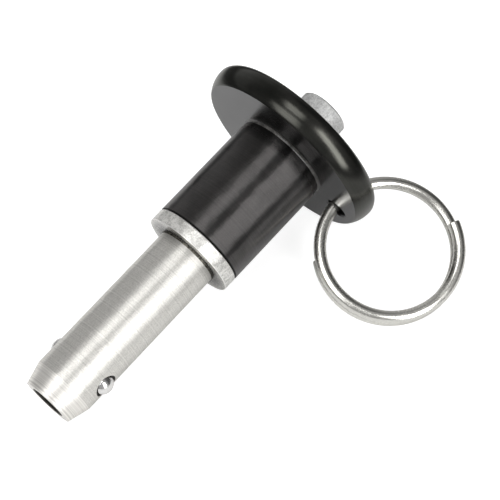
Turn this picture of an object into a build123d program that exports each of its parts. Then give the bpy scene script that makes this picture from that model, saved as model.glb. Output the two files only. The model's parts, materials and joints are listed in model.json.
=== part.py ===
"""Ball lock pin: press the button, the balls drop into the shank and the pin slides in or out.

Every piece is turned about the pin's own axis, which runs along +X from the nose (x = 0) to the
button. The finished pin is then laid on a flat surface, on its flange and the edge of its nose,
with the ring leaning out to one side. All lengths are in millimetres.
"""

from build123d import *
import math
import os

# shank
shank_d = 12.0
nose_face_d = 9.8
nose_length = 4.1
nose_edge_r = 0.25
grip_length = 35.6
relief_width = 0.35
relief_depth = 0.4
relief_into_face = 0.1
relief_past_shank = 0.15
collar_d = 18.0
collar_length = 2.55
collar_chamfer = 0.15
stub_d = 10.0
stub_length = 13.0
stub_chamfer = 0.5

# bores along the shank
land_bore_d = 6.3
land_bore_mouth = 0.3
stop_step_from_nose = 17.2
guide_bore_d = 4.4

# balls
ball_d = 4.0
ball_from_nose = 8.7
ball_stands_out = 1.05
pocket_clearance = 0.03
lip_from_ball_centre = 0.5
countersink_d = 4.5

# spindle
running_clearance = 0.05
button_travel = 4.4
ball_drop = 1.1
land_length = 3.6
neck_d = 3.6
stop_collar_length = 2.0
stud_d = 3.0
stud_length = 3.6
stud_hole_depth = 4.2
spindle_chamfer = 0.3

# handle
barrel_d = 18.0
barrel_length = 22.8
barrel_chamfer = 0.35
flange_fillet = 0.45
flange_flat_d = 35.2
flange_d = 37.2
flange_thickness = 5.1
flange_widest_at = 3.3
flange_edge_chamfer = 0.2
ring_hole_d = 4.1
ring_hole_from_axis = 13.7
ring_hole_chamfer = 0.25
bore_mouth_chamfer = 0.4

# button
button_d = 9.6
button_stands_out = 6.8
button_guide_length = 6.0
button_edge_chamfer = 0.35
button_slide_clearance = 0.08
button_stop_clearance = 0.1
spring_pocket_d = 7.8
spring_pocket_depth = 6.0

# threaded joints, drawn as plain cylinders
thread_clearance = 0.02

# spring
spring_wire_d = 0.7
spring_mean_d = 6.1
spring_coils = 6.5
spring_seat_clearance = 0.02

# split ring
ring_wire_d = 2.3
ring_mean_d = 25.3
ring_turn_gap = 0.25
ring_turns_before_hole = 0.68
ring_turns_after_hole = 0.86
ring_centre_past_flange_front = 0.9
ring_wire_off_hole_centre = 0.5

# how the pin lies: turned about its axis so that the balls are level
ring_hole_below_level = 29.0
ring_above_floor = 0.3

# places along the pin's axis
collar_front = grip_length + relief_width
collar_back = collar_front + collar_length
stub_end = collar_back + stub_length
flange_front = collar_back + barrel_length
flange_back = flange_front + flange_thickness
button_top = flange_back + button_stands_out
button_bottom = flange_back - button_guide_length
button_bore_floor = button_bottom - button_travel - button_stop_clearance
pocket_roof = button_bottom + spring_pocket_depth
ring_pitch = ring_wire_d + ring_turn_gap

# the taper that moves the balls: as the spindle goes forward, they drop at one steady rate
ball_r = ball_d / 2
ball_centre_out = shank_d / 2 + ball_stands_out - ball_r
cam_slope = ball_drop / button_travel
cam_reach = math.hypot(1, cam_slope)
land_r = land_bore_d / 2 - running_clearance
cam_under_ball = ball_centre_out - (ball_r + pocket_clearance) * cam_reach
cam_start = ball_from_nose - (land_r - cam_under_ball) / cam_slope
cam_end = cam_start + (land_r - neck_d / 2) / cam_slope
land_front = cam_start - land_length
stop_collar_back = stop_step_from_nose - running_clearance
stop_collar_front = stop_collar_back - stop_collar_length


# the flange's rim is two arcs that meet at its widest point
rim_drop = (flange_d - flange_flat_d) / 2
rim_lower_run = flange_widest_at - flange_edge_chamfer
rim_lower_r = (rim_lower_run**2 + rim_drop**2) / (2 * rim_drop)
rim_upper_r = flange_thickness - flange_widest_at

# the slope at which the pin lies on its flange's rim and on the edge behind its nose
rim_from_nose_edge = flange_front + flange_widest_at - nose_length
rim_centre_rise = flange_d / 2 - rim_lower_r - shank_d / 2
rim_centre_away = math.hypot(rim_from_nose_edge, rim_centre_rise)
pin_tilt = math.degrees(
    math.atan2(rim_centre_rise, rim_from_nose_edge) + math.asin(rim_lower_r / rim_centre_away)
)


def turned(*outline):
    """A solid turned about the pin's axis from its half section, given as (x, radius) corners."""
    section = make_face(Polyline(*[(x, r, 0) for x, r in outline], close=True))
    return revolve(section, Axis.X)


def bore(start, end, diameter):
    """A round cutter along the pin's axis."""
    middle = (start + end) / 2
    return Pos(middle, 0, 0) * Rot(0, 90, 0) * Cylinder(diameter / 2, end - start)


def cone_bore(start, end, start_d, end_d):
    """A conical cutter along the pin's axis."""
    return turned((start, 0), (start, start_d / 2), (end, end_d / 2), (end, 0))


def make_shank():
    """Nose, ground cylinder, shoulder collar and stub, turned as one piece.

    A relief is cut into both the shank and the collar's face, so that the face seats flat.
    """
    body = turned(
        (0, 0),
        (0, nose_face_d / 2),
        (nose_length, shank_d / 2),
        (grip_length, shank_d / 2),
        (grip_length, shank_d / 2 - relief_depth),
        (collar_front + relief_into_face, shank_d / 2 - relief_depth),
        (collar_front, shank_d / 2 + relief_past_shank),
        (collar_front, collar_d / 2 - collar_chamfer),
        (collar_front + collar_chamfer, collar_d / 2),
        (collar_back - collar_chamfer, collar_d / 2),
        (collar_back, collar_d / 2 - collar_chamfer),
        (collar_back, stub_d / 2),
        (stub_end - stub_chamfer, stub_d / 2),
        (stub_end, stub_d / 2 - stub_chamfer),
        (stub_end, 0),
    )
    nose_edges = body.edges().filter_by(GeomType.CIRCLE).filter_by_position(
        Axis.X, nose_length - 0.01, nose_length + 0.01
    )
    body = fillet(nose_edges, nose_edge_r)
    body -= bore(-1, stop_step_from_nose, land_bore_d)
    body -= bore(0, stub_end + 1, guide_bore_d)
    mouth_d = land_bore_d + 2 * land_bore_mouth
    body -= cone_bore(-0.001, land_bore_mouth, mouth_d, land_bore_d)
    for side in (0, 180):
        body -= Rot(side, 0, 0) * ball_pocket()
    return body


def ball_pocket():
    """The cutter of one ball's pocket: a bore, a rounded seat under the lip, and a countersink."""
    pocket_r = ball_r + pocket_clearance
    lip_r = math.sqrt(pocket_r**2 - lip_from_ball_centre**2)
    lip_out = ball_centre_out + lip_from_ball_centre
    surface = shank_d / 2
    slope = (countersink_d / 2 - lip_r) / (surface - lip_out)
    beyond = 0.5
    outline = [
        (0, 0, 0),
        (pocket_r, 0, 0),
        (pocket_r, 0, ball_centre_out),
    ]
    seat_angle = math.degrees(math.asin(lip_from_ball_centre / pocket_r))
    seat = CenterArc((0, 0, 0), pocket_r, 0, seat_angle)
    seat = Pos(0, 0, ball_centre_out) * Rot(90, 0, 0) * seat
    walls = Polyline(*outline)
    opening = Polyline(
        seat @ 1,
        (lip_r + slope * (surface + beyond - lip_out), 0, surface + beyond),
        (0, 0, surface + beyond),
        (0, 0, 0),
    )
    cutter = revolve(make_face([walls, seat, opening]), Axis.Z)
    return Pos(ball_from_nose, 0, 0) * Rot(90, 0, 0) * cutter


def make_ball(side):
    """One of the two balls, pushed out by the spindle's land."""
    return Rot(side, 0, 0) * Pos(ball_from_nose, -ball_centre_out, 0) * Sphere(ball_r)


def make_spindle():
    """Land, taper, neck, stop collar, rod and the threaded stud that carries the button."""
    rod_r = guide_bore_d / 2 - running_clearance
    stop_r = land_r
    stud_end = pocket_roof + stud_length
    return turned(
        (land_front, 0),
        (land_front, land_r - spindle_chamfer),
        (land_front + spindle_chamfer, land_r),
        (cam_start, land_r),
        (cam_end, neck_d / 2),
        (stop_collar_front, neck_d / 2),
        (stop_collar_front, stop_r),
        (stop_collar_back, stop_r),
        (stop_collar_back, rod_r),
        (pocket_roof, rod_r),
        (pocket_roof, stud_d / 2),
        (stud_end - spindle_chamfer, stud_d / 2),
        (stud_end, stud_d / 2 - spindle_chamfer),
        (stud_end, 0),
    )


def flange_outline():
    """The flange's half section: a flat underside, a bulging rim and a well rounded top."""
    edge = flange_flat_d / 2
    widest = flange_d / 2
    edge_x = flange_front + flange_edge_chamfer
    widest_x = flange_front + flange_widest_at
    lower = RadiusArc((edge_x, edge, 0), (widest_x, widest, 0), rim_lower_r)
    upper = CenterArc((widest_x, widest - rim_upper_r, 0), rim_upper_r, 90, -90)
    rest = Polyline(
        (flange_back, widest - rim_upper_r, 0),
        (flange_back, 0, 0),
        (flange_front, 0, 0),
        (flange_front, edge - flange_edge_chamfer, 0),
        (edge_x, edge, 0),
    )
    return [lower, upper, rest]


def make_handle():
    """Barrel and flange in one, bored for the stub, the spring and the button."""
    body = revolve(make_face(flange_outline()), Axis.X)
    body += turned(
        (collar_back, 0),
        (collar_back, barrel_d / 2 - barrel_chamfer),
        (collar_back + barrel_chamfer, barrel_d / 2),
        (flange_back - 1, barrel_d / 2),
        (flange_back - 1, 0),
    )
    corner = body.edges().filter_by(GeomType.CIRCLE).filter_by_position(
        Axis.X, flange_front - 0.01, flange_front + 0.01
    )
    body = fillet(corner.sort_by(SortBy.RADIUS)[0], flange_fillet)
    bore_d = button_d + 2 * button_slide_clearance
    body -= bore(collar_back - 1, stub_end, stub_d + 2 * thread_clearance)
    body -= bore(collar_back, button_bore_floor, spring_pocket_d)
    body -= bore(button_bore_floor, flange_back + 1, bore_d)
    mouth_d = bore_d + 2 * bore_mouth_chamfer
    body -= cone_bore(flange_back - bore_mouth_chamfer, flange_back + 0.001, bore_d, mouth_d)
    body -= ring_hole()
    return body


def ring_hole():
    """The cutter of the ring's hole, right through the flange and slightly countersunk."""
    wide = ring_hole_d + 2 * ring_hole_chamfer
    cutter = bore(flange_front - 1, flange_back + 1, ring_hole_d)
    cutter += cone_bore(flange_front - 0.001, flange_front + ring_hole_chamfer, wide, ring_hole_d)
    cutter += cone_bore(flange_back - ring_hole_chamfer, flange_back + 0.001, ring_hole_d, wide)
    return Rot(ring_hole_below_level, 0, 0) * Pos(0, -ring_hole_from_axis, 0) * cutter


def make_button():
    """A cap with a pocket for the spring and a threaded hole for the spindle's stud."""
    r = button_d / 2
    body = turned(
        (button_bottom, 0),
        (button_bottom, r),
        (button_top - button_edge_chamfer, r),
        (button_top, r - button_edge_chamfer),
        (button_top, 0),
    )
    body -= bore(button_bottom - 1, pocket_roof, spring_pocket_d)
    body -= bore(pocket_roof - 1, pocket_roof + stud_hole_depth, stud_d + 2 * thread_clearance)
    return body


def make_spring():
    """A compression spring with its ends ground flat, between the shank's stub and the button."""
    low = stub_end + spring_seat_clearance
    high = pocket_roof - spring_seat_clearance
    pitch = (high - low) / spring_coils
    path = Helix(pitch, high - low + spring_wire_d, spring_mean_d / 2)
    section = Plane(origin=path @ 0, z_dir=path % 0) * Circle(spring_wire_d / 2)
    coil = sweep(section, path=path, is_frenet=True)
    coil = Pos(low - spring_wire_d / 2, 0, 0) * Rot(0, 90, 0) * coil
    return coil & bore(low, high, 2 * spring_mean_d)


def ring_lean():
    """How far the split ring leans below level, in degrees, so that its far side nears the floor."""
    tilt = math.radians(pin_tilt)
    hole = math.radians(ring_hole_below_level)
    ring_x = flange_front + ring_centre_past_flange_front
    hole_height = (
        (shank_d / 2 - ring_hole_from_axis * math.sin(hole)) * math.cos(tilt)
        + (ring_x - nose_length) * math.sin(tilt)
    )
    to_centre = ring_mean_d / 2 - ring_wire_off_hole_centre
    low = 0.0
    high = math.pi / 2
    for _ in range(50):
        lean = (low + high) / 2
        level = math.cos(tilt) * math.cos(lean)
        drop = to_centre * math.sin(lean) * math.cos(tilt)
        drop += ring_mean_d / 2 * math.sqrt(1 - level**2)
        drop += ring_pitch / 2 * level
        if hole_height - drop - ring_wire_d / 2 > ring_above_floor:
            low = lean
        else:
            high = lean
    return math.degrees(lean)


def ring_plane():
    """The split ring's own plane: its x runs to the flange's hole, its z away from the top."""
    hole = Rot(ring_hole_below_level, 0, 0) * Pos(0, -ring_hole_from_axis, 0)
    outward = Vector(0, -1, 0).rotate(Axis.X, ring_lean())
    centre = hole.position + outward * (ring_mean_d / 2 - ring_wire_off_hole_centre)
    centre += Vector(flange_front + ring_centre_past_flange_front, 0, 0)
    return Plane(origin=centre, x_dir=-outward, z_dir=Vector(0, 0, -1).rotate(Axis.X, ring_lean()))


def make_split_ring():
    """About one and a half turns of round wire, each turn lying against the next."""
    turns = ring_turns_before_hole + ring_turns_after_hole
    path = Helix(ring_pitch, ring_pitch * turns, ring_mean_d / 2)
    section = Plane(origin=path @ 0, z_dir=path % 0) * Circle(ring_wire_d / 2)
    wire = sweep(section, path=path, is_frenet=True)
    turn_to_hole = Rot(0, 0, -360 * ring_turns_before_hole)
    slide_to_hole = Pos(0, 0, -ring_pitch * ring_turns_before_hole)
    return ring_plane().location * turn_to_hole * slide_to_hole * wire


parts = {
    "shank": make_shank(),
    "handle": make_handle(),
    "spindle": make_spindle(),
    "button": make_button(),
    "spring": make_spring(),
    "ball_1": make_ball(0),
    "ball_2": make_ball(180),
    "split_ring": make_split_ring(),
}

# laid on its rim and nose edge, with the frame's origin on the floor under the middle of its box
laid = {name: Rot(0, -pin_tilt, 0) * shape for name, shape in parts.items()}
box = Compound(list(laid.values())).bounding_box()
middle = box.center()
to_floor = Pos(-middle.X, -middle.Y, -box.min.Z)

os.makedirs("parts", exist_ok=True)
for name, shape in laid.items():
    export_step(to_floor * shape, f"parts/{name}.step")
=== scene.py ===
"""Looks of the ball lock pin: turned steel, black anodised handle, blasted button and bright ring.

Turned pieces are built in the pin's own frame, x along its axis from the nose, in millimetres,
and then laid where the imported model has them.
"""

import bpy
import bmesh
import json
import math
from mathutils import Matrix, Vector


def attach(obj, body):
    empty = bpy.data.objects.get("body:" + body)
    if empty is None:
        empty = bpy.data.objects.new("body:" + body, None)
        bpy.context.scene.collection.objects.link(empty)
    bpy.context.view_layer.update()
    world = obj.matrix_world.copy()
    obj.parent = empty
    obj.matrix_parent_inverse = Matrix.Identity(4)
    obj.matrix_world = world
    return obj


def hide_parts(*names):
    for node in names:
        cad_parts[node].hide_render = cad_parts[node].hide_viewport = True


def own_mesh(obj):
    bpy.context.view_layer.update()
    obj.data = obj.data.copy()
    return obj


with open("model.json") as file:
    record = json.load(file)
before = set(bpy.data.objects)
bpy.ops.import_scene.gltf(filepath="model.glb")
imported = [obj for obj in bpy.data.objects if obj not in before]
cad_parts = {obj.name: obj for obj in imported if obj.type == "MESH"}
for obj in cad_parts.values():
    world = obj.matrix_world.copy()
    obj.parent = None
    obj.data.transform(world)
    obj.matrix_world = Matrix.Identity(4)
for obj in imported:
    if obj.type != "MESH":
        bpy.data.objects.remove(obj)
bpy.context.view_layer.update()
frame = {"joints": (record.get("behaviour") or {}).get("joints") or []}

MM = 0.001

# shank, nose to stub
SHANK_R = 6.0
NOSE_FACE_R = 4.9
NOSE_LENGTH = 4.1
NOSE_EDGE_R = 0.25
GRIP_END = 35.6
RELIEF_R = 5.6
RELIEF_INTO_COLLAR = 0.1
RELIEF_PAST_SHANK = 0.15
COLLAR_FRONT = 35.95
COLLAR_BACK = 38.5
COLLAR_R = 9.0
COLLAR_EDGE = 0.15
STUB_R = 5.0
STUB_END = 51.5
STUB_EDGE = 0.5
LAND_BORE_R = 3.15
BORE_MOUTH = 0.3
STOP_STEP = 17.2
GUIDE_BORE_R = 2.2

# balls and their pockets
BALL_R = 2.0
BALL_X = 8.7
BALL_OUT = 5.05
POCKET_R = 2.03
POCKET_START = 1.5
POCKET_TOOL_PAST = 0.5
LIP_OUT = 0.5
COUNTERSINK_R = 2.25

# handle
BARREL_R = 9.0
BARREL_EDGE = 0.35
THREAD_GAP = 0.02
FLANGE_FRONT = 61.3
FLANGE_BACK = 66.4
FLANGE_FLAT_R = 17.6
FLANGE_R = 18.6
FLANGE_WIDEST = 3.3
FLANGE_EDGE = 0.2
FLANGE_FILLET = 0.45
NECK_START = 58.6
NECK_SWEEP_R = 16.1
NECK_SWEEP = 7.84
HOLE_R = 2.05
HOLE_EDGE = 0.25
HOLE_TOOL_PAST = 1.0
HOLE_FROM_AXIS = 13.7
HOLE_BELOW_LEVEL = 29.0
BUTTON_BORE_R = 4.88
BUTTON_BORE_EDGE = 0.4
BUTTON_BORE_FLOOR = 55.9
SPRING_POCKET_R = 3.9

# button, spindle and spring
BUTTON_R = 4.8
BUTTON_BOTTOM = 60.4
BUTTON_TOP = 73.2
BUTTON_EDGE = 0.35
POCKET_ROOF = 66.4
STUD_HOLE_R = 1.52
STUD_HOLE_END = 70.6
LAND_R = 3.1
LAND_FRONT = 4.53
SPINDLE_EDGE = 0.3
CAM_START = 8.13
CAM_END = 13.33
NECK_R = 1.8
STOP_FRONT = 15.15
STOP_BACK = 17.15
ROD_R = 2.15
STUD_R = 1.5
STUD_END = 70.0
SPRING_WIRE_R = 0.35
SPRING_MEAN_R = 3.05
SPRING_COILS = 6.5
SPRING_GAP = 0.02

# split ring
WIRE_R = 1.15
WIRE_EDGE = 0.08
RING_R = 12.65
RING_PITCH = 2.55
TURNS_BEFORE_HOLE = 0.68
TURNS_AFTER_HOLE = 0.86
RING_X = 62.2
WIRE_OFF_HOLE = 0.5
RING_LEAN = 19.067

# two points nearer than this are one
SAME_POINT = 1e-6
# faces that meet at more than this angle show an edge
SHARP = math.radians(32)
# a face belongs to a turned surface this near to its middle and facing the same way
ON_SURFACE = 0.03
SAME_SLOPE = 0.93


# where the pin lies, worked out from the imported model's joints
joints = {joint["name"]: joint for joint in frame["joints"]}
pin_axis = -Vector(joints["button_press"]["axis"]).normalized()
pin_side = Vector((0, 1, 0))
pin_up = pin_axis.cross(pin_side)
hole_angle = math.radians(HOLE_BELOW_LEVEL)
hole_in_pin = Vector(
    (
        (FLANGE_FRONT + FLANGE_BACK) / 2,
        -HOLE_FROM_AXIS * math.cos(hole_angle),
        -HOLE_FROM_AXIS * math.sin(hole_angle),
    )
)
hole_in_model = Vector(joints["ring_swing"]["pos_m"])
pin_turn = Matrix((pin_axis, pin_side, pin_up)).transposed()
nose_in_model = hole_in_model - pin_turn @ (hole_in_pin * MM)
pin_place = Matrix.Translation(nose_in_model) @ pin_turn.to_4x4()


def in_scene(name, data):
    """A new object in the scene that shows a mesh, lamp or camera."""
    thing = bpy.data.objects.new(name, data)
    bpy.context.scene.collection.objects.link(thing)
    return thing


def piece_from(shape, name):
    """Turns a shape under construction into a piece of the scene."""
    mesh = bpy.data.meshes.new(name)
    shape.to_mesh(mesh)
    shape.free()
    return in_scene(name, mesh)


# ---------------------------------------------------------------- turned forms


def line(start, end):
    """A straight stretch of a half section, with its outward normal."""
    along = Vector(end) - Vector(start)
    normal = Vector((-along.y, along.x)).normalized()
    return [(Vector(start), normal), (Vector(end), normal)]


def arc(centre, radius, first, last, steps, hollow=False):
    """A round stretch of a half section, between two angles in degrees from the pin's axis."""
    points = []
    for step in range(steps + 1):
        angle = math.radians(first + (last - first) * step / steps)
        out = Vector((math.cos(angle), math.sin(angle)))
        points.append((Vector(centre) + radius * out, -out if hollow else out))
    return points


def corners(*points):
    """Straight stretches from corner to corner of a half section."""
    return [line(a, b) for a, b in zip(points, points[1:])]


def turned(name, stretches, steps=192):
    """A closed mesh turned about the pin's axis from the stretches of its half section, and the
    list of short cones it is made of."""
    cones = [
        (a, b, na, nb)
        for stretch in stretches
        for (a, na), (b, nb) in zip(stretch, stretch[1:])
        if (b - a).length > SAME_POINT
    ]
    shape = bmesh.new()
    rings = {}

    def ring(point):
        key = (round(point.x, 5), round(point.y, 5))
        if key not in rings and point.y < SAME_POINT:
            rings[key] = [shape.verts.new((point.x, 0, 0))] * steps
        elif key not in rings:
            turns = [2 * math.pi * k / steps for k in range(steps)]
            rings[key] = [
                shape.verts.new((point.x, point.y * math.cos(turn), point.y * math.sin(turn)))
                for turn in turns
            ]
        return rings[key]

    for a, b, _, _ in cones:
        here, there = ring(a), ring(b)
        for k in range(steps):
            after = (k + 1) % steps
            corner = [here[k], here[after], there[after], there[k]]
            face = [v for i, v in enumerate(corner) if v not in corner[:i]]
            if len(face) > 2:
                shape.faces.new(face)
    bmesh.ops.recalc_face_normals(shape, faces=shape.faces)
    return piece_from(shape, name), cones


def cut(piece, tools):
    """Cuts the tools out of the piece and removes them."""
    for tool in tools:
        step = piece.modifiers.new("cut", "BOOLEAN")
        step.operation = "DIFFERENCE"
        step.solver = "EXACT"
        step.object = tool
    depsgraph = bpy.context.evaluated_depsgraph_get()
    mesh = bpy.data.meshes.new_from_object(piece.evaluated_get(depsgraph))
    piece.modifiers.clear()
    old = piece.data
    piece.data = mesh
    bpy.data.meshes.remove(old)
    mesh.name = piece.name
    for tool in tools:
        bpy.data.objects.remove(tool)


def share_along(spot, start, along):
    """How far a spot lies along a stretch, from 0 at its start to 1 at its end."""
    return max(0.0, min(1.0, (spot - start).dot(along) / along.length_squared))


def surface_at(spot, slope, cones):
    """The cone of a turned surface that a face with this middle and slope lies on, if any."""
    best, nearest = None, ON_SURFACE
    for a, b, na, nb in cones:
        along = b - a
        gap = (spot - (a + along * share_along(spot, a, along))).length
        if gap < nearest and slope.dot((na + nb) / 2) > SAME_SLOPE:
            best, nearest = (a, along, na, nb), gap
    return best


def true_normals(piece, cones):
    """Gives every face that lies on a turned surface that surface's own normals, so that it shades as
    round as the lathe left it. Cut faces keep plain smooth shading with sharp edges."""
    mesh = piece.data
    mesh.shade_smooth()
    mesh.set_sharp_from_angle(angle=SHARP)
    normals = [Vector(n.vector) for n in mesh.corner_normals]
    for face in mesh.polygons:
        centre, facing = face.center, face.normal
        spot = Vector((centre.x, math.hypot(centre.y, centre.z)))
        out = 0.0
        if spot.y > SAME_POINT:
            out = (facing.y * centre.y + facing.z * centre.z) / spot.y
        surface = surface_at(spot, Vector((facing.x, out)), cones)
        if surface is None:
            continue
        a, along, na, nb = surface
        for loop in face.loop_indices:
            v = mesh.vertices[mesh.loops[loop].vertex_index].co
            r = math.hypot(v.y, v.z)
            n = na.lerp(nb, share_along(Vector((v.x, r)), a, along)).normalized()
            if r > SAME_POINT:
                normals[loop] = Vector((n.x, n.y * v.y / r, n.y * v.z / r))
            else:
                normals[loop] = Vector((math.copysign(1, n.x), 0, 0))
    mesh.normals_split_custom_set([tuple(n) for n in normals])


def lay(piece, body, slot, *nodes):
    """Takes a piece made in the pin's frame in millimetres to its place in the model."""
    piece.data.transform(pin_place @ Matrix.Scale(MM, 4))
    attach(piece, body)
    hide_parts(*nodes)
    return piece


# -------------------------------------------------------------------- pieces


def make_shank():
    """Nose, ground cylinder, relief, collar and stub, with the two ball pockets."""
    cone = math.atan2(SHANK_R - NOSE_FACE_R, NOSE_LENGTH)
    run = NOSE_EDGE_R * math.tan(cone / 2)
    cone_end = (NOSE_LENGTH - run * math.cos(cone), SHANK_R - run * math.sin(cone))
    edge_start = 90 + math.degrees(cone)
    outline = [
        line((0, LAND_BORE_R + BORE_MOUTH), (0, NOSE_FACE_R)),
        line((0, NOSE_FACE_R), cone_end),
        arc((NOSE_LENGTH + run, SHANK_R - NOSE_EDGE_R), NOSE_EDGE_R, edge_start, 90, steps=6),
    ]
    round_r = COLLAR_R - COLLAR_EDGE
    front, back = COLLAR_FRONT + COLLAR_EDGE, COLLAR_BACK - COLLAR_EDGE
    outline += corners(
        (NOSE_LENGTH + run, SHANK_R),
        (GRIP_END, SHANK_R),
        (GRIP_END, RELIEF_R),
        (COLLAR_FRONT + RELIEF_INTO_COLLAR, RELIEF_R),
        (COLLAR_FRONT, SHANK_R + RELIEF_PAST_SHANK),
        (COLLAR_FRONT, round_r),
    )
    outline.append(arc((front, round_r), COLLAR_EDGE, 180, 90, steps=5))
    outline.append(line((front, COLLAR_R), (back, COLLAR_R)))
    outline.append(arc((back, round_r), COLLAR_EDGE, 90, 0, steps=5))
    outline += corners(
        (COLLAR_BACK, round_r),
        (COLLAR_BACK, STUB_R),
        (STUB_END - STUB_EDGE, STUB_R),
        (STUB_END, STUB_R - STUB_EDGE),
        (STUB_END, GUIDE_BORE_R),
        (STOP_STEP, GUIDE_BORE_R),
        (STOP_STEP, LAND_BORE_R),
        (BORE_MOUTH, LAND_BORE_R),
        (0, LAND_BORE_R + BORE_MOUTH),
    )
    piece, cones = turned("shank_turned", outline)
    cut(piece, [ball_pocket(side) for side in (-1, 1)])
    true_normals(piece, cones)
    return piece


def ball_pocket(side):
    """The cutter of one ball's pocket: bore, rounded seat under the lip, and countersink."""
    lip_r = math.sqrt(POCKET_R**2 - LIP_OUT**2)
    seat = math.degrees(math.asin(LIP_OUT / POCKET_R))
    slope = (COUNTERSINK_R - lip_r) / (SHANK_R - BALL_OUT - LIP_OUT)
    top = SHANK_R + POCKET_TOOL_PAST
    outline = [
        line((POCKET_START, 0), (POCKET_START, POCKET_R)),
        line((POCKET_START, POCKET_R), (BALL_OUT, POCKET_R)),
        arc((BALL_OUT, 0), POCKET_R, 90, 90 - seat, steps=6),
    ]
    outline += corners(
        (BALL_OUT + LIP_OUT, lip_r),
        (top, lip_r + slope * (top - BALL_OUT - LIP_OUT)),
        (top, 0),
    )
    tool, _ = turned("pocket_tool", outline, steps=96)
    outward = Matrix.Rotation(math.radians(90 * side), 4, "Z")
    tool.data.transform(Matrix.Translation((BALL_X, 0, 0)) @ outward)
    return tool


def make_handle():
    """Barrel and flange, bored right through, with the ring's hole. The barrel necks down a little
    before it meets the flange."""
    rim_drop = FLANGE_R - FLANGE_FLAT_R
    run = FLANGE_WIDEST - FLANGE_EDGE
    rim_r = (run**2 + rim_drop**2) / (2 * rim_drop)
    rim_x = FLANGE_FRONT + FLANGE_WIDEST
    rim_turn = math.degrees(math.asin(run / rim_r))
    top_r = FLANGE_BACK - rim_x
    stub_bore_r = STUB_R + THREAD_GAP
    outline = corners(
        (COLLAR_BACK, stub_bore_r),
        (COLLAR_BACK, BARREL_R - BARREL_EDGE),
        (COLLAR_BACK + BARREL_EDGE, BARREL_R),
        (NECK_START, BARREL_R),
    )
    sweep_centre = (NECK_START, BARREL_R - NECK_SWEEP_R)
    sweep = arc(sweep_centre, NECK_SWEEP_R, 90, 90 - NECK_SWEEP, steps=10)
    neck_x, neck_r = sweep[-1][0]
    fillet = (FLANGE_FRONT - FLANGE_FILLET, neck_r + FLANGE_FILLET)
    outline.append(sweep)
    outline.append(line((neck_x, neck_r), (FLANGE_FRONT - FLANGE_FILLET, neck_r)))
    outline.append(arc(fillet, FLANGE_FILLET, -90, 0, steps=10, hollow=True))
    outline += corners(
        (FLANGE_FRONT, neck_r + FLANGE_FILLET),
        (FLANGE_FRONT, FLANGE_FLAT_R - FLANGE_EDGE),
        (FLANGE_FRONT + FLANGE_EDGE, FLANGE_FLAT_R),
    )
    outline.append(arc((rim_x, FLANGE_R - rim_r), rim_r, 90 + rim_turn, 90, steps=24))
    outline.append(arc((rim_x, FLANGE_R - top_r), top_r, 90, 0, steps=24))
    outline += corners(
        (FLANGE_BACK, FLANGE_R - top_r),
        (FLANGE_BACK, BUTTON_BORE_R + BUTTON_BORE_EDGE),
        (FLANGE_BACK - BUTTON_BORE_EDGE, BUTTON_BORE_R),
        (BUTTON_BORE_FLOOR, BUTTON_BORE_R),
        (BUTTON_BORE_FLOOR, SPRING_POCKET_R),
        (STUB_END, SPRING_POCKET_R),
        (STUB_END, stub_bore_r),
        (COLLAR_BACK, stub_bore_r),
    )
    piece, cones = turned("handle_turned", outline, steps=256)
    cut(piece, [ring_hole()])
    true_normals(piece, cones)
    return piece


def ring_hole():
    """The cutter of the ring's hole with its two countersinks."""
    wide = HOLE_R + HOLE_EDGE
    front, back = FLANGE_FRONT - HOLE_TOOL_PAST, FLANGE_BACK + HOLE_TOOL_PAST
    outline = corners(
        (front, 0),
        (front, wide),
        (FLANGE_FRONT, wide),
        (FLANGE_FRONT + HOLE_EDGE, HOLE_R),
        (FLANGE_BACK - HOLE_EDGE, HOLE_R),
        (FLANGE_BACK, wide),
        (back, wide),
        (back, 0),
    )
    tool, _ = turned("hole_tool", outline, steps=96)
    tool.data.transform(Matrix.Translation((0, hole_in_pin.y, hole_in_pin.z)))
    return tool


def make_button():
    """The cap that the thumb presses, with the spring's pocket and the stud's hole in it."""
    outline = corners(
        (BUTTON_BOTTOM, SPRING_POCKET_R),
        (BUTTON_BOTTOM, BUTTON_R),
        (BUTTON_TOP - BUTTON_EDGE, BUTTON_R),
        (BUTTON_TOP, BUTTON_R - BUTTON_EDGE),
        (BUTTON_TOP, 0),
    )
    outline += corners(
        (STUD_HOLE_END, 0),
        (STUD_HOLE_END, STUD_HOLE_R),
        (POCKET_ROOF, STUD_HOLE_R),
        (POCKET_ROOF, SPRING_POCKET_R),
        (BUTTON_BOTTOM, SPRING_POCKET_R),
    )
    piece, cones = turned("button_turned", outline)
    true_normals(piece, cones)
    return piece


def make_spindle():
    """Land, taper, neck, stop collar, rod and stud."""
    outline = corners(
        (LAND_FRONT, 0),
        (LAND_FRONT, LAND_R - SPINDLE_EDGE),
        (LAND_FRONT + SPINDLE_EDGE, LAND_R),
        (CAM_START, LAND_R),
        (CAM_END, NECK_R),
        (STOP_FRONT, NECK_R),
        (STOP_FRONT, LAND_R),
        (STOP_BACK, LAND_R),
        (STOP_BACK, ROD_R),
        (POCKET_ROOF, ROD_R),
        (POCKET_ROOF, STUD_R),
        (STUD_END - SPINDLE_EDGE, STUD_R),
        (STUD_END, STUD_R - SPINDLE_EDGE),
        (STUD_END, 0),
    )
    piece, cones = turned("spindle_turned", outline, steps=96)
    true_normals(piece, cones)
    return piece


def make_ball(number, side):
    """One polished ball, its surface an even net of small faces."""
    shape = bmesh.new()
    bmesh.ops.create_icosphere(shape, subdivisions=5, radius=BALL_R)
    bmesh.ops.translate(shape, verts=shape.verts, vec=(BALL_X, side * BALL_OUT, 0))
    piece = piece_from(shape, f"ball_{number}_polished")
    piece.data.shade_smooth()
    return piece


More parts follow.
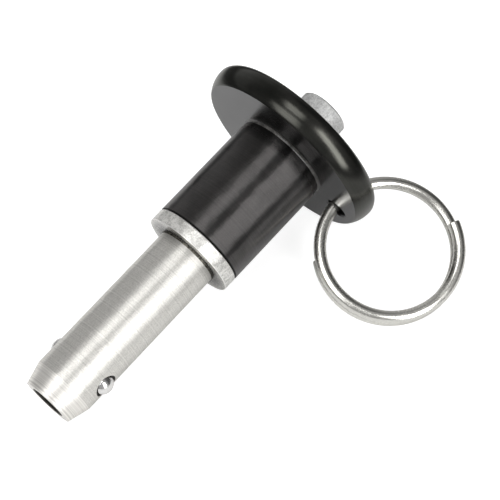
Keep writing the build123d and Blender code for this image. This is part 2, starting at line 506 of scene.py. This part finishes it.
def wound(name, path, wire_r, around, edge=0.0):
    """Round wire along a path of points, with flat ends whose edges may be slightly broken."""
    shape = bmesh.new()
    last = len(path) - 1
    stations = [(i, 0.0, wire_r) for i in range(last + 1)]
    if edge:
        stations[0] = (0, edge, wire_r)
        stations[-1] = (last, -edge, wire_r)
        stations.insert(0, (0, 0.0, wire_r - edge))
        stations.append((last, 0.0, wire_r - edge))
    turns = [2 * math.pi * k / around for k in range(around)]
    rows = []
    for i, slip, r in stations:
        ahead = (path[min(i + 1, last)] - path[max(i - 1, 0)]).normalized()
        side = Vector((0, 0, 1)).cross(ahead).normalized()
        up = ahead.cross(side)
        centre = path[i] + ahead * slip
        rows.append(
            [
                shape.verts.new(centre + side * r * math.cos(turn) + up * r * math.sin(turn))
                for turn in turns
            ]
        )
    for here, there in zip(rows, rows[1:]):
        for k in range(around):
            after = (k + 1) % around
            shape.faces.new((here[k], here[after], there[after], there[k]))
    shape.faces.new(rows[0][::-1])
    shape.faces.new(rows[-1])
    bmesh.ops.recalc_face_normals(shape, faces=shape.faces)
    piece = piece_from(shape, name)
    piece.data.shade_smooth()
    piece.data.set_sharp_from_angle(angle=SHARP)
    return piece


def helix(radius, pitch, first, last, steps_per_turn):
    """Points of a right-handed helix about z, between two counts of turns."""
    count = max(2, int(round((last - first) * steps_per_turn)))
    points = []
    for i in range(count + 1):
        turns = first + (last - first) * i / count
        angle = 2 * math.pi * turns
        points.append(Vector((radius * math.cos(angle), radius * math.sin(angle), pitch * turns)))
    return points


def make_split_ring():
    """About one and a half turns of bright round wire."""
    path = helix(RING_R, RING_PITCH, -TURNS_BEFORE_HOLE, TURNS_AFTER_HOLE, steps_per_turn=160)
    piece = wound("split_ring_wire", path, WIRE_R, around=40, edge=WIRE_EDGE)
    lean = math.radians(RING_LEAN)
    outward = Vector((0, -math.cos(lean), -math.sin(lean)))
    away = Vector((0, math.sin(lean), -math.cos(lean)))
    centre = Vector((0, hole_in_pin.y, hole_in_pin.z))
    centre += outward * (RING_R - WIRE_OFF_HOLE)
    centre.x = RING_X
    turn = Matrix((-outward, away.cross(-outward), away)).transposed().to_4x4()
    piece.data.transform(Matrix.Translation(centre) @ turn)
    return piece


def make_spring():
    """The coil spring that pushes the button out."""
    low = STUB_END + SPRING_GAP + SPRING_WIRE_R
    high = POCKET_ROOF - SPRING_GAP - SPRING_WIRE_R
    pitch = (high - low) / SPRING_COILS
    path = helix(SPRING_MEAN_R, pitch, 0, SPRING_COILS, steps_per_turn=40)
    piece = wound("spring_coil", path, SPRING_WIRE_R, around=14)
    to_axis = Matrix.Translation((low, 0, 0)) @ Matrix.Rotation(math.radians(90), 4, "Y")
    piece.data.transform(to_axis)
    return piece


# ----------------------------------------------------------- node helpers


def feed(tree, socket, value):
    """Links another node's output to a socket, or sets the socket to a plain value."""
    if hasattr(value, "is_output"):
        tree.links.new(value, socket)
    else:
        socket.default_value = value


def math_node(tree, operation, *values):
    """A Math node whose inputs are sockets or numbers; gives its output."""
    node = tree.nodes.new("ShaderNodeMath")
    node.operation = operation
    for socket, value in zip(node.inputs, values):
        feed(tree, socket, value)
    return node.outputs[0]


def map_range(tree, value, low, high, out_low, out_high, smooth=False):
    """A value between low and high, spread from out_low to out_high and held beyond them."""
    node = tree.nodes.new("ShaderNodeMapRange")
    node.interpolation_type = "SMOOTHSTEP" if smooth else "LINEAR"
    labels = ("Value", "From Min", "From Max", "To Min", "To Max")
    for label, given in zip(labels, (value, low, high, out_low, out_high)):
        feed(tree, node.inputs[label], given)
    return node.outputs[0]


def mix(tree, share, first, second, kind="FLOAT"):
    """A blend of two numbers or two colours; a Mix node keeps each kind at its own sockets."""
    at_first, at_second, at_result = {"FLOAT": (2, 3, 0), "RGBA": (6, 7, 2)}[kind]
    node = tree.nodes.new("ShaderNodeMix")
    node.data_type = kind
    for index, value in ((0, share), (at_first, first), (at_second, second)):
        feed(tree, node.inputs[index], value)
    return node.outputs[at_result]


def noise(tree, place, scale, detail, roughness=0.5, dimensions="3D"):
    """Smooth noise about 0.5 over a place, or in 1D over a single value."""
    node = tree.nodes.new("ShaderNodeTexNoise")
    node.noise_dimensions = dimensions
    tree.links.new(place, node.inputs["W" if dimensions == "1D" else "Vector"])
    for label, value in (("Scale", scale), ("Detail", detail), ("Roughness", roughness)):
        feed(tree, node.inputs[label], value)
    return node.outputs[0]


def separate(tree, vector):
    """The X, Y and Z of a vector."""
    node = tree.nodes.new("ShaderNodeSeparateXYZ")
    tree.links.new(vector, node.inputs[0])
    return node.outputs


def effect(tree, group, **values):
    """Places a node group in a tree with its own values, named with _ for a space; gives its
    outputs."""
    node = tree.nodes.new("ShaderNodeGroup")
    node.node_tree = group
    for label, value in values.items():
        node.inputs[label.replace("_", " ")].default_value = value
    return node.outputs


def group_of(name, inputs, outputs):
    """An empty shader node group with named inputs and their values, and named outputs (name,
    type); gives the group, what it is given and what it makes."""
    group = bpy.data.node_groups.new(name, "ShaderNodeTree")
    for label, value in inputs:
        socket = group.interface.new_socket(label, in_out="INPUT", socket_type="NodeSocketFloat")
        socket.default_value = value
    for label, kind in outputs:
        group.interface.new_socket(label, in_out="OUTPUT", socket_type=kind)
    given = group.nodes.new("NodeGroupInput").outputs
    made = group.nodes.new("NodeGroupOutput").inputs
    return group, given, made


# ----------------------------------------------------------------- effects


def pin_coordinates_group():
    """A point's place in the pin's own frame, x along its axis, and its distance from the axis, in
    millimetres."""
    group, _, made = group_of(
        "Pin coordinates", [], [("Place", "NodeSocketVector"), ("Radius", "NodeSocketFloat")]
    )
    where = group.nodes.new("ShaderNodeTexCoord")
    to_pin = pin_place.inverted()
    turn = group.nodes.new("ShaderNodeMapping")
    turn.inputs["Location"].default_value = to_pin.translation / MM
    turn.inputs["Rotation"].default_value = to_pin.to_euler("XYZ")
    turn.inputs["Scale"].default_value = (1 / MM, 1 / MM, 1 / MM)
    group.links.new(where.outputs["Object"], turn.inputs["Vector"])
    group.links.new(turn.outputs[0], made["Place"])
    place = separate(group, turn.outputs[0])
    y2 = math_node(group, "MULTIPLY", place["Y"], place["Y"])
    z2 = math_node(group, "MULTIPLY", place["Z"], place["Z"])
    radius = math_node(group, "SQRT", math_node(group, "ADD", y2, z2))
    group.links.new(radius, made["Radius"])
    return group


def lathe_marks_group():
    """Fine rings left by the lathe tool or the grinding wheel, 0 to 1, on cylinders, cones and end
    faces alike."""
    group, given, made = group_of(
        "Lathe marks",
        [("Rings per mm", 8.0), ("Raggedness", 0.05)],
        [("Marks", "NodeSocketFloat")],
    )
    where = effect(group, PIN_COORDINATES)
    reach = math_node(group, "ADD", separate(group, where["Place"])["X"], where["Radius"])
    drift = noise(group, where["Place"], scale=0.26, detail=2.0)
    wander = math_node(group, "MULTIPLY", drift, given["Raggedness"])
    path = math_node(group, "ADD", reach, wander)
    ring = math_node(group, "MULTIPLY", path, given["Rings per mm"])
    marks = noise(group, ring, scale=1.0, detail=3.0, roughness=0.6, dimensions="1D")
    group.links.new(marks, made["Marks"])
    return group


def mottle_group():
    """Uneven grain of a blasted, etched or anodised skin, in patches of two sizes."""
    group, given, made = group_of(
        "Mottle",
        [("Patches per m", 900.0), ("Grains per m", 6000.0), ("Grain share", 0.5)],
        [("Mottle", "NodeSocketFloat"), ("Grain", "NodeSocketFloat"), ("Patch", "NodeSocketFloat")],
    )
    place = group.nodes.new("ShaderNodeTexCoord").outputs["Object"]
    patch = noise(group, place, scale=given["Patches per m"], detail=3.0)
    grain = noise(group, place, scale=given["Grains per m"], detail=4.0, roughness=0.65)
    group.links.new(mix(group, given["Grain share"], patch, grain), made["Mottle"])
    group.links.new(grain, made["Grain"])
    group.links.new(patch, made["Patch"])
    return group


PIN_COORDINATES = pin_coordinates_group()
LATHE_MARKS = lathe_marks_group()
MOTTLE = mottle_group()


# ---------------------------------------------------------------- finishes

# most of a noise's values lie between these
NOISE_RANGE = (0.3, 0.7)


class Finish:
    """A material under construction: its Principled shader and short ways to feed it. What is the
    same all over is given by the socket's name, with _ for a space."""

    def __init__(self, name, **sockets):
        self.material = bpy.data.materials.new(name)
        self.material.use_nodes = True
        self.tree = self.material.node_tree
        self.shader = self.tree.nodes["Principled BSDF"]
        for label, value in sockets.items():
            self.shader.inputs[label.replace("_", " ")].default_value = value

    def effect(self, group, **values):
        """Places a node group in the material with its own values; gives its outputs."""
        return effect(self.tree, group, **values)

    def spread(self, value, out_low, out_high, between=NOISE_RANGE):
        """A value, most often a noise, spread from out_low to out_high."""
        return map_range(self.tree, value, *between, out_low, out_high)

    def along(self, start, end, first, last):
        """A value that changes between two places along the pin's axis."""
        place = separate(self.tree, self.effect(PIN_COORDINATES)["Place"])
        return self.spread(place["X"], first, last, between=(start, end))

    def add(self, a, b, share=1.0):
        """One value and a share of another."""
        return math_node(self.tree, "MULTIPLY_ADD", b, share, a)

    def times(self, a, b):
        """One value times another."""
        return math_node(self.tree, "MULTIPLY", a, b)

    def vary(self, socket, value):
        """Lets a value that changes over the surface drive one of the shader's sockets."""
        self.tree.links.new(value, self.shader.inputs[socket])

    def colour(self, value, dark, light, painted_shade=None):
        """The colour between dark and light by a value, darkened by painted shade where painted_shade
        is below 1.
        """
        colour = mix(self.tree, value, (*dark, 1), (*light, 1), "RGBA")
        if painted_shade is not None:
            darken = self.tree.nodes.new("ShaderNodeVectorMath")
            darken.operation = "SCALE"
            self.tree.links.new(colour, darken.inputs[0])
            self.tree.links.new(painted_shade, darken.inputs["Scale"])
            colour = darken.outputs[0]
        self.vary("Base Color", colour)

    def bump(self, height, depth_mm, strength):
        """Raises the surface where height is high, by shading only."""
        bump = self.tree.nodes.new("ShaderNodeBump")
        bump.inputs["Strength"].default_value = strength
        bump.inputs["Distance"].default_value = depth_mm * MM
        self.tree.links.new(height, bump.inputs["Height"])
        self.vary("Normal", bump.outputs[0])

    def turned_grain(self, amount):
        """Spreads the gloss across the lathe marks, which is along the pin's axis."""
        across = self.tree.nodes.new("ShaderNodeCombineXYZ")
        for label, value in zip("XYZ", pin_axis):
            across.inputs[label].default_value = value
        self.shader.inputs["Anisotropic"].default_value = amount
        self.vary("Tangent", across.outputs[0])


# the stretch of the shank before the collar over which painted shade darkens it, standing in for the
# collar's shade, and how dark it gets
PAINTED_SHADE_START = GRIP_END - 1.8
PAINTED_SHADE_FULL = GRIP_END - 0.3
PAINTED_SHADE_LEVEL = 0.74


def ground_steel():
    """The shank's cylinder: fine grinding lines and a slight grain, with painted shade on its last
    stretch before the collar.
    """
    finish = Finish("Ground stainless steel", Metallic=0.91)
    marks = finish.effect(LATHE_MARKS, Rings_per_mm=3.6, Raggedness=0.12)["Marks"]
    skin = finish.effect(MOTTLE, Patches_per_m=500.0, Grains_per_m=4000.0, Grain_share=0.4)
    lines = finish.spread(marks, 0.0, 0.6)
    grains = finish.spread(skin["Grain"], -0.15, 0.55, between=(0.35, 0.65))
    # painted shade: the shank's colour darkens toward the collar, where the collar shades it
    painted_shade = finish.along(PAINTED_SHADE_START, PAINTED_SHADE_FULL, 1.0, PAINTED_SHADE_LEVEL)
    finish.colour(finish.add(lines, grains), (0.54, 0.528, 0.50), (0.77, 0.757, 0.72), painted_shade)
    finish.vary("Roughness", finish.spread(skin["Mottle"], 0.44, 0.5))
    finish.bump(finish.add(marks, skin["Patch"], 8.0), depth_mm=0.02, strength=0.5)
    finish.turned_grain(0.66)
    return finish.material


def turned_nose_steel():
    """The nose as the lathe left it, brighter than the ground cylinder and in coarser rings."""
    finish = Finish("Turned stainless nose", Metallic=0.86, Roughness=0.48)
    marks = finish.effect(LATHE_MARKS, Rings_per_mm=2.6, Raggedness=0.03)["Marks"]
    finish.colour(finish.spread(marks, 0.0, 1.0), (0.63, 0.61, 0.58), (0.88, 0.862, 0.82))
    finish.bump(marks, depth_mm=0.06, strength=0.7)
    finish.turned_grain(0.64)
    return finish.material


def shaded_steel(name, dark, light):
    """Near-black steel with a mottle, painted shade for the bores, the ball pockets and the relief
    groove.
    """
    finish = Finish(name, Metallic=0.7, Roughness=0.45)
    skin = finish.effect(MOTTLE, Patches_per_m=1500.0, Grains_per_m=2600.0, Grain_share=0.7)
    finish.colour(finish.spread(skin["Mottle"], 0.0, 1.0, between=(0.38, 0.62)), dark, light)
    return finish.material


def collar_steel():
    """The collar's rim as it came from the bar: satin, with small stains and dents."""
    finish = Finish("Satin collar steel", Metallic=0.84)
    skin = finish.effect(MOTTLE, Patches_per_m=1100.0, Grains_per_m=3600.0, Grain_share=0.55)
    stains = finish.spread(skin["Mottle"], 0.0, 1.0, between=(0.4, 0.58))
    finish.colour(stains, (0.5, 0.493, 0.468), (0.86, 0.85, 0.82))
    finish.vary("Roughness", finish.spread(skin["Grain"], 0.34, 0.48))
    finish.bump(skin["Mottle"], depth_mm=0.08, strength=0.7)
    finish.turned_grain(0.5)
    return finish.material


# from this radius to this the painted shade on the collar's faces fades out
FACE_SHADE_FADES = (SHANK_R + 0.5, COLLAR_R - 0.4)


def faced_steel():
    """The collar's faces, faced off on the lathe, bright outside, with painted shade near the shank.
    """
    finish = Finish("Faced collar steel", Metallic=0.92)
    marks = finish.effect(LATHE_MARKS, Rings_per_mm=5.0, Raggedness=0.05)["Marks"]
    skin = finish.effect(MOTTLE, Patches_per_m=900.0, Grains_per_m=3600.0, Grain_share=0.5)
    stains = finish.spread(skin["Mottle"], 0.0, 0.5)
    radius = finish.effect(PIN_COORDINATES)["Radius"]
    # painted shade: the faces' colour darkens toward the shank, in place of the shank's shade and
    # dark reflection
    unshaded = finish.spread(radius, -0.2, 0.55, between=FACE_SHADE_FADES)
    finish.colour(finish.add(stains, unshaded), (0.09, 0.087, 0.082), (0.74, 0.73, 0.70))
    finish.vary("Roughness", finish.spread(skin["Grain"], 0.18, 0.3))
    finish.bump(marks, depth_mm=0.01, strength=0.5)
    return finish.material


# the oxide of an anodised skin
OXIDE_IOR = 1.7
# the stretches of the barrel over which its shine and its tool marks change to the neck's
NECK_GLOSS = (NECK_START - 0.6, NECK_START + 0.6)
NECK_FEED = (NECK_START - 0.4, NECK_START + 1.7)


def anodised(
    name,
    roughness,
    rings_per_mm,
    depth_mm,
    gloss,
    grain=0.0,
    wave=0.0,
    dust=0.0,
    neck=None,
    tint=(1.0, 1.0, 1.0),
):
    """Black anodised aluminium: how many and how deep its lathe marks are, how strongly it shines,
    how far its gloss spreads across the marks, how deep its slow waviness is, its share of dust
    specks, how much smoother and duller its neck is if it has one, and the tint of its shine."""
    finish = Finish(name, IOR=OXIDE_IOR, Specular_IOR_Level=gloss, Specular_Tint=(*tint, 1))
    marks = finish.effect(LATHE_MARKS, Rings_per_mm=rings_per_mm, Raggedness=0.05)["Marks"]
    skin = finish.effect(MOTTLE, Patches_per_m=260.0, Grains_per_m=5000.0, Grain_share=0.35)
    specks = finish.spread(skin["Grain"], 0.0, 0.9, between=(0.66, 0.72))
    shade = finish.add(finish.spread(skin["Mottle"], 0.0, 0.1), specks, dust)
    finish.colour(shade, (0.0025, 0.0028, 0.0025), (0.05, 0.046, 0.046))
    rough = finish.spread(skin["Mottle"], roughness * 0.85, roughness * 1.2)
    worn = finish.add(skin["Mottle"], marks, 0.3)
    dull = finish.spread(worn, 0.4, 0.0, between=(0.45, 0.85))
    if neck:
        smoother, duller = neck
        rough = finish.times(rough, finish.along(*NECK_FEED, 1.0, smoother))
        dull = finish.add(dull, finish.along(*NECK_GLOSS, 0.0, duller))
    finish.vary("Roughness", rough)
    finish.vary("Metallic", dull)
    height = finish.add(finish.add(marks, skin["Grain"], 0.5), skin["Patch"], wave)
    finish.bump(height, depth_mm, strength=0.4)
    if grain:
        finish.turned_grain(grain)
    return finish.material


def worn_fillet():
    """The fillet where barrel meets flange, its black rubbed thin and flecked with bare metal."""
    finish = Finish("Worn anodised fillet", Metallic=0.2, Roughness=0.3)
    skin = finish.effect(MOTTLE, Patches_per_m=700.0, Grains_per_m=3000.0, Grain_share=0.6)
    flecks = finish.spread(skin["Mottle"], 0.0, 1.0, between=(0.4, 0.72))
    finish.colour(flecks, (0.006, 0.006, 0.0055), (0.11, 0.107, 0.10))
    finish.bump(skin["Grain"], depth_mm=0.03, strength=0.5)
    return finish.material


def blasted_steel():
    """The button's pale matt grey, pitted by the blasting."""
    finish = Finish("Blasted steel button", Metallic=0.55, Roughness=0.5)
    skin = finish.effect(MOTTLE, Patches_per_m=1300.0, Grains_per_m=3400.0, Grain_share=0.6)
    pits = finish.spread(skin["Mottle"], 0.0, 1.0, between=(0.36, 0.62))
    finish.colour(pits, (0.36, 0.36, 0.36), (0.68, 0.68, 0.67))
    finish.bump(skin["Grain"], depth_mm=0.06, strength=0.7)
    return finish.material


def polished_steel(name, colour, roughness):
    """Bright steel with a faint unevenness of shade and polish."""
    finish = Finish(name, Metallic=1.0)
    skin = finish.effect(MOTTLE, Patches_per_m=400.0, Grains_per_m=2500.0, Grain_share=0.3)
    polish = finish.spread(skin["Mottle"], roughness * 0.7, roughness * 1.4)
    finish.vary("Roughness", polish)
    dark = tuple(c * 0.93 for c in colour)
    light = tuple(min(1.0, c * 1.05) for c in colour)
    finish.colour(skin["Mottle"], dark, light)
    return finish.material


GROUND = ground_steel()
NOSE = turned_nose_steel()
COLLAR_RIM = collar_steel()
COLLAR_FACE = faced_steel()
# painted highlight: the collar's rounded edges in paler, brighter steel than its rim
COLLAR_ARRIS = polished_steel("Bright collar edge, painted highlight", (0.86, 0.85, 0.82), 0.34)
# painted shade: near-black steel inside the bores, the ball pockets and the relief groove
SHADED_BORE = shaded_steel("Bore steel in painted shade", (0.004, 0.0035, 0.003), (0.035, 0.032, 0.027))
GROOVE = shaded_steel("Relief groove in painted shade", (0.01, 0.009, 0.008), (0.24, 0.225, 0.19))
BARREL = anodised(
    "Black anodised barrel",
    roughness=0.36,
    rings_per_mm=3.0,
    depth_mm=0.01,
    gloss=0.71,
    grain=0.97,
    wave=30.0,
    dust=0.8,
    neck=(0.55, 0.46),
    tint=(1.0, 0.95, 0.94),
)
RIM = anodised(
    "Black anodised rim",
    roughness=0.2,
    rings_per_mm=1.6,
    depth_mm=0.02,
    gloss=0.335,
    wave=2.0,
    dust=0.4,
    tint=(1.0, 1.0, 0.89),
)
FLANGE = anodised(
    "Black anodised face", roughness=0.22, rings_per_mm=5.0, depth_mm=0.003, gloss=0.745
)
SEAM = anodised("Black anodised edge", roughness=0.5, rings_per_mm=5.0, depth_mm=0.003, gloss=0.11)
WORN = worn_fillet()
BLASTED = blasted_steel()
BALL = polished_steel("Polished ball steel", (0.78, 0.77, 0.76), 0.2)
WIRE = polished_steel("Bright ring wire", (0.69, 0.68, 0.64), 0.24)
ROD = polished_steel("Spindle steel", (0.5, 0.5, 0.5), 0.3)
COIL = polished_steel("Spring wire", (0.45, 0.45, 0.45), 0.3)


# ------------------------------------------------------- pieces, finished and laid

# how far from a flat face, along the axis, a place still counts as on it
AT_FLAT = 0.01


def shank_finish(x, r):
    """The finish of the shank at a place along its axis and a distance from it."""
    beside_collar = x < COLLAR_FRONT + COLLAR_EDGE or x > COLLAR_BACK - COLLAR_EDGE
    if x < NOSE_LENGTH:
        return NOSE if r > LAND_BORE_R + BORE_MOUTH else SHADED_BORE
    if x < GRIP_END + AT_FLAT:
        return GROUND if r > SHANK_R - ON_SURFACE else SHADED_BORE
    if x < COLLAR_FRONT + RELIEF_INTO_COLLAR and r < SHANK_R + RELIEF_PAST_SHANK:
        return GROOVE
    if r > COLLAR_R - COLLAR_EDGE and beside_collar:
        return COLLAR_ARRIS
    if r > COLLAR_R - ON_SURFACE:
        return COLLAR_RIM
    return COLLAR_FACE if r > SHANK_R else GROUND


def handle_finish(x, r):
    """The finish of the handle at a place along its axis and a distance from it."""
    if x < COLLAR_BACK + BARREL_EDGE:
        return SEAM
    if x < FLANGE_FRONT - AT_FLAT:
        return WORN if x > FLANGE_FRONT - FLANGE_FILLET else BARREL
    return RIM if r > FLANGE_FLAT_R - FLANGE_EDGE else FLANGE


def finish_by_place(piece, finish_at):
    """Gives each face of a turned piece the finish of the place it lies at."""
    mesh = piece.data
    mesh.materials.clear()
    for face in mesh.polygons:
        x, y, z = face.center
        finish = finish_at(x, math.hypot(y, z))
        if finish.name not in mesh.materials:
            mesh.materials.append(finish)
        face.material_index = mesh.materials.find(finish.name)


shank = make_shank()
finish_by_place(shank, shank_finish)
lay(shank, "body", "stainless_steel", "shank")

handle = make_handle()
finish_by_place(handle, handle_finish)
lay(handle, "body", "black_handle", "handle")

button = make_button()
button.data.materials.append(BLASTED)
lay(button, "plunger", "button_steel", "button")

spindle = make_spindle()
spindle.data.materials.append(ROD)
lay(spindle, "plunger", "spindle_steel", "spindle")

for number, side in ((1, -1), (2, 1)):
    ball = make_ball(number, side)
    ball.data.materials.append(BALL)
    lay(ball, f"ball_{number}", "ball_steel", f"ball_{number}")

ring = make_split_ring()
ring.data.materials.append(WIRE)
lay(ring, "ring", "ring_steel", "split_ring")

spring = make_spring()
spring.data.materials.append(COIL)
lay(spring, "body", "spring_steel", "spring")
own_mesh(spring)


# ------------------------------------------------------------------- studio

TABLE_REACH = 3.0
# how bright the table is to the camera by itself, and how pale it is as a plain surface
TABLE_SEEN = 0.79
TABLE_SHADE = 0.42
# the white paper under the pin, as polished surfaces mirror it: its own glow and its paleness, and
# from where to where it fades to a small share
PAPER_GLOW = 0.02
PAPER_SHADE = 0.66
PAPER_REACH = 0.07
PAPER_END = 0.112
PAPER_LEFT = 0.1

# the grey room that polished surfaces mirror: the axis along which a wall's brightness changes,
# from where to where, and its brightness at either end
NEAR_WALL = ("X", 0.2, 0.6, 0.36, 0.08)
FAR_WALL = ("X", -0.5, 0.4, 0.20, 0.50)
FAR_WALL_AWAY = ("Y", 0.3, 1.0, 0.66, 1.2)
NEAR_TO_FAR = ("Y", 0.0, 0.4, 0.0, 1.0)

SENSOR_WIDTH = 36


def make_floor():
    """A pale table top that shows pure white and keeps a faint shadow."""
    mesh = bpy.data.meshes.new("floor")
    square = ((-1, -1), (1, -1), (1, 1), (-1, 1))
    mesh.from_pydata([(x * TABLE_REACH, y * TABLE_REACH, 0) for x, y in square], [], [(0, 1, 2, 3)])
    floor = in_scene("floor", mesh)
    material = bpy.data.materials.new("White table")
    material.use_nodes = True
    tree = material.node_tree
    tree.nodes.clear()
    out = tree.nodes.new("ShaderNodeOutputMaterial")
    matte = tree.nodes.new("ShaderNodeBsdfDiffuse")
    glow = tree.nodes.new("ShaderNodeEmission")
    glow.inputs["Color"].default_value = (1, 1, 1, 1)
    rays = tree.nodes.new("ShaderNodeLightPath").outputs
    mirrored = math_node(tree, "MAXIMUM", rays["Is Glossy Ray"], rays["Is Transmission Ray"])
    where = tree.nodes.new("ShaderNodeNewGeometry")
    away = tree.nodes.new("ShaderNodeVectorMath")
    away.operation = "LENGTH"
    tree.links.new(where.outputs["Position"], away.inputs[0])
    paper = map_range(
        tree, away.outputs["Value"], PAPER_REACH, PAPER_END, 1.0, PAPER_LEFT, smooth=True
    )
    reflected = math_node(tree, "MULTIPLY", mirrored, paper)
    plain = math_node(tree, "SUBTRACT", 1.0, mirrored)
    level = math_node(tree, "MULTIPLY", plain, TABLE_SHADE)
    level = math_node(tree, "MULTIPLY_ADD", reflected, PAPER_SHADE, level)
    grey = tree.nodes.new("ShaderNodeCombineColor")
    for channel in ("Red", "Green", "Blue"):
        tree.links.new(level, grey.inputs[channel])
    tree.links.new(grey.outputs[0], matte.inputs["Color"])
    seen = math_node(tree, "MULTIPLY", rays["Is Camera Ray"], TABLE_SEEN)
    shine = math_node(tree, "MULTIPLY_ADD", reflected, PAPER_GLOW, seen)
    tree.links.new(shine, glow.inputs["Strength"])
    both = tree.nodes.new("ShaderNodeAddShader")
    tree.links.new(matte.outputs[0], both.inputs[0])
    tree.links.new(glow.outputs[0], both.inputs[1])
    tree.links.new(both.outputs[0], out.inputs["Surface"])
    mesh.materials.append(material)


def make_world():
    """White where the camera looks past the table, and a grey room in reflections, with a dark
    wall before the flange and a paler one behind it."""
    world = bpy.data.worlds.new("studio")
    bpy.context.scene.world = world
    world.use_nodes = True
    tree = world.node_tree
    back = tree.nodes["Background"]
    back.inputs["Color"].default_value = (1, 1, 1, 1)
    rays = tree.nodes.new("ShaderNodeLightPath").outputs
    toward = separate(tree, tree.nodes.new("ShaderNodeTexCoord").outputs["Generated"])

    def wall(axis, start, end, first, last):
        return map_range(tree, toward[axis], start, end, first, last, smooth=True)

    far = math_node(tree, "MULTIPLY", wall(*FAR_WALL), wall(*FAR_WALL_AWAY))
    room = mix(tree, wall(*NEAR_TO_FAR), wall(*NEAR_WALL), far)
    level = mix(tree, rays["Is Camera Ray"], room, 1.0)
    tree.links.new(level, back.inputs["Strength"])


def panel(name, centre, aim, width, height, strength):
    """A soft light panel that faces its aim."""
    lamp = bpy.data.lights.new(name, "AREA")
    lamp.shape = "RECTANGLE"
    lamp.size = width
    lamp.size_y = height
    lamp.energy = strength * width * height * math.pi
    light = in_scene(name, lamp)
    light.location = centre
    light.rotation_euler = (Vector(aim) - Vector(centre)).to_track_quat("-Z", "Y").to_euler()
    return light


def make_camera(azimuth, elevation, roll, distance, aim, lens):
    """A camera looking at its aim; azimuth 0 looks along +Y and 90 along -X."""
    az, el, turn = (math.radians(angle) for angle in (azimuth, elevation, roll))
    forward = Vector(
        (-math.sin(az) * math.cos(el), math.cos(az) * math.cos(el), -math.sin(el))
    )
    level = forward.cross(Vector((0, 0, 1))).normalized()
    upright = level.cross(forward)
    right = level * math.cos(turn) + upright * math.sin(turn)
    up = right.cross(forward)
    data = bpy.data.cameras.new("camera")
    data.lens = lens
    data.sensor_width = SENSOR_WIDTH
    camera = in_scene("camera", data)
    place = Matrix((right, up, -forward)).transposed().to_4x4()
    place.translation = Vector(aim) - forward * distance
    camera.matrix_world = place
    bpy.context.scene.camera = camera


make_floor()
make_world()
panel(
    "panel over the handle",
    centre=(-0.16, -0.01, 0.55),
    aim=(-0.16, -0.01, 0),
    width=0.22,
    height=0.24,
    strength=4.4,
)
panel(
    "panel over the nose",
    centre=(-0.70, 0.08, 0.55),
    aim=(-0.70, 0.08, 0),
    width=0.60,
    height=0.46,
    strength=3.6,
)
panel(
    "panel at the side",
    centre=(-0.13, -0.535, 0.30),
    aim=(-0.04, 0, 0.01),
    width=0.20,
    height=0.62,
    strength=7.9,
)
fill = panel(
    "fill from behind",
    centre=(-0.25, 0.28, 0.6),
    aim=(0, 0, 0.01),
    width=0.8,
    height=0.8,
    strength=1.75,
)
fill.visible_glossy = False
make_camera(
    azimuth=-45.235,
    elevation=55.236,
    roll=-1.811,
    distance=0.307864,
    aim=(0.007286, 0.003461, 0.009),
    lens=122.687,
)

bpy.context.scene.view_settings.view_transform = "Standard"
